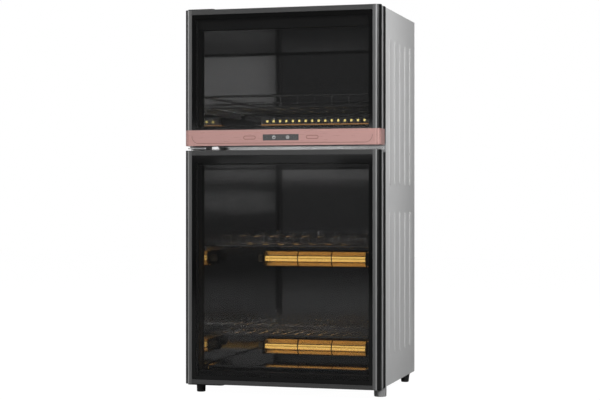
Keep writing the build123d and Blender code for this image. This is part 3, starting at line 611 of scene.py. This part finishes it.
def side_panels():
    """The right-hand panel, and a copy of it turned half round for the left.
    """
    low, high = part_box("side_panel_right")
    pressed_side()
    finish_piece("pressed_side_right", paint, "cabinet", ["side_panel_right"])
    bpy.ops.object.duplicate(linked=False)
    bpy.ops.transform.rotate(
        value=math.radians(180), orient_axis="Z", center_override=(0, (low.y + high.y) / 2, 0)
    )
    settle()
    finish_piece("pressed_side_left", paint, "cabinet", ["side_panel_left"])


side_panels()


# ------------------------------------------------------------------ small pieces


STOP_SPACE = 15 * MM
STOP_WIDTH = 14 * MM
STOP_REACH = 40 * MM
STOP_SUNK = 0.5 * MM


def stop_block():
    """White door stop on the beam, beside the middle hinge bracket."""
    low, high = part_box("hinge_bracket_middle")
    beam_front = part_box("cross_beam")[0].y
    left = high.x + STOP_SPACE
    cuboid(
        (left, beam_front - STOP_REACH, low.z + 1 * MM),
        (left + STOP_WIDTH, beam_front + STOP_SUNK, high.z - 1 * MM),
    )
    round_edges(0.8 * MM)
    finish_piece("door_stop", white_plastic, "cabinet")


RING_RADIUS = 3.0 * MM
RING_LINE = 0.42 * MM
RING_FLATNESS = 0.35
DOT_RADIUS = 1.1 * MM
DOT_FLATNESS = 0.13
STROKE_HALF = 0.45 * MM
STROKE_HEIGHT = 3.4 * MM
STROKE_RELIEF = 0.12 * MM


def key_symbol(name, with_dot):
    """A printed ring on a key, with a stroke at its top or a dot in its middle."""
    low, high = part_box(name)
    centre = (low + high) / 2
    on_face = (centre.x, low.y, centre.z)
    begin()
    bpy.ops.mesh.primitive_torus_add(
        major_radius=RING_RADIUS,
        minor_radius=RING_LINE,
        major_segments=36,
        minor_segments=8,
        location=on_face,
        rotation=(math.radians(90), 0, 0),
    )
    settle()
    bpy.ops.transform.resize(value=(1, RING_FLATNESS, 1), center_override=on_face)
    settle()
    parts = [bpy.context.active_object]
    if with_dot:
        begin()
        bpy.ops.mesh.primitive_uv_sphere_add(segments=16, ring_count=8, radius=DOT_RADIUS, location=on_face)
        bpy.ops.transform.resize(value=(1, DOT_FLATNESS, 1))
        settle()
    else:
        cuboid(
            (centre.x - STROKE_HALF, low.y - STROKE_RELIEF, centre.z),
            (centre.x + STROKE_HALF, low.y + STROKE_RELIEF, centre.z + STROKE_HEIGHT),
        )
    parts.append(bpy.context.active_object)
    join(parts)
    bpy.ops.object.shade_smooth_by_angle(angle=math.radians(40))
    finish_piece(name + "_symbol", white_ink, name)


stop_block()
key_symbol("left_key", False)
key_symbol("right_key", True)


# ------------------------------------------------------------------ studio


CAMERA_RIGHT = 0.920
CAMERA_BACK = 3.084
CAMERA_HEIGHT = 0.426
CAMERA_TURN = math.radians(15.9)


def make_camera():
    """The photograph's view: level, from the front and a little to the right, long lens."""
    data = bpy.data.cameras.new("camera")
    data.sensor_width = 36.0
    data.lens = 91.56
    data.shift_x = 0.00075
    data.shift_y = -0.0087
    data.clip_end = 50
    camera = bpy.data.objects.new("camera", data)
    camera.location = (CAMERA_RIGHT, door_front - CAMERA_BACK, CAMERA_HEIGHT)
    camera.rotation_euler = (math.radians(90), 0, CAMERA_TURN)
    bpy.context.collection.objects.link(camera)
    bpy.context.scene.camera = camera


def softbox(name, place, target, width, height, power, spread=180):
    data = bpy.data.lights.new(name, "AREA")
    data.shape = "RECTANGLE"
    data.size = width
    data.size_y = height
    data.energy = power
    data.spread = math.radians(spread)
    light = bpy.data.objects.new(name, data)
    light.location = place
    light.rotation_euler = (Vector(target) - Vector(place)).to_track_quat("-Z", "Y").to_euler()
    bpy.context.collection.objects.link(light)


CARD_DISTANCE = 3.15


def card(name, x, z, width, height, radiance):
    """A panel of even light in front, which shows in the glass, the beam, the rails and the bright liners."""
    power = radiance * math.pi * width * height
    softbox(name, (x, -CARD_DISTANCE, z), (0, 0, z), width, height, power)


def camera_only(tree, seen, otherwise, target, share=1.0):
    """Shows one shader to the camera and another to all other light."""
    mix = tree.nodes.new("ShaderNodeMixShader")
    rays = tree.nodes.new("ShaderNodeLightPath")
    part = tree.nodes.new("ShaderNodeMath")
    part.operation = "MULTIPLY"
    part.inputs[1].default_value = share
    tree.links.new(rays.outputs["Is Camera Ray"], part.inputs[0])
    tree.links.new(part.outputs["Value"], mix.inputs["Fac"])
    tree.links.new(otherwise, mix.inputs[1])
    tree.links.new(seen, mix.inputs[2])
    tree.links.new(mix.outputs["Shader"], target)


def make_world():
    """White behind the cabinet, a dim room for everything that is lit or mirrored."""
    world = bpy.data.worlds.new("world")
    world.use_nodes = True
    bpy.context.scene.world = world
    tree = world.node_tree
    room = tree.nodes["Background"]
    room.inputs["Color"].default_value = (0.93, 0.94, 0.95, 1)
    room.inputs["Strength"].default_value = 0.15
    backdrop = tree.nodes.new("ShaderNodeBackground")
    backdrop.inputs["Color"].default_value = (1, 1, 1, 1)
    surface = tree.nodes["World Output"].inputs["Surface"]
    camera_only(tree, backdrop.outputs["Background"], room.outputs["Background"], surface)


def make_floor():
    """Almost pure white to the camera, with a faint shadow, and a grey floor to the light."""
    begin()
    bpy.ops.mesh.primitive_plane_add(size=14, location=(0, 0, -0.0002))
    floor = bpy.context.active_object
    floor.name = "floor"
    pale = Finish("pale_floor", Base_Color=grey(0.4), Roughness=0.7, Specular_IOR_Level=0.1)
    tree = pale.tree
    white = tree.nodes.new("ShaderNodeEmission")
    white.inputs["Strength"].default_value = 1.125
    surface = tree.nodes["Material Output"].inputs["Surface"]
    camera_only(tree, white.outputs["Emission"], pale.shader.outputs["BSDF"], surface, 0.88)
    floor.data.materials.append(pale.material)


def make_lights():
    bpy.context.scene.view_settings.view_transform = "Standard"
    middle = (0, 0, 0.4)
    side = (0.21, 0.3, 0.62)
    softbox("side_softbox", (1.68, -1.54, 1.4), side, width=0.7, height=0.7, power=6.2, spread=60)
    softbox("front_key", (1.5, -3.4, 1.7), middle, width=1.1, height=0.9, power=40)
    softbox("front_fill", (-2.2, -2.6, 1.9), middle, width=0.9, height=0.9, power=34)
    softbox("left_softbox", (-2.4, -1.0, 1.0), (-0.2, 0, 0.4), width=0.6, height=1.8, power=14)
    softbox("top_softbox", (0.1, 0.5, 2.6), (0, 0, 0), width=1.4, height=1.2, power=16)
    softbox("rear_softbox", (-0.8, 2.8, 1.4), middle, width=1.4, height=1.4, power=24)
    card("high_card", x=0.93, z=0.95, width=0.384, height=0.262, radiance=1.8)
    card("middle_card", x=0.93, z=0.533, width=0.384, height=0.085, radiance=1.0)
    card("low_card", x=0.93, z=0.395, width=0.384, height=0.09, radiance=0.95)
    card("left_card", x=-0.9, z=0.533, width=0.5, height=0.085, radiance=0.7)
    card("gap_card_right", x=-0.72, z=0.655, width=0.5, height=0.11, radiance=2.4)
    card("gap_card_left", x=-1.22, z=0.655, width=0.5, height=0.11, radiance=1.1)
    card("rail_card_right", x=0.28, z=0.45, width=0.16, height=1.3, radiance=1.6)
    card("rail_card_left", x=-1.95, z=0.45, width=0.3, height=1.3, radiance=1.6)


make_camera()
make_world()
make_floor()
make_lights()
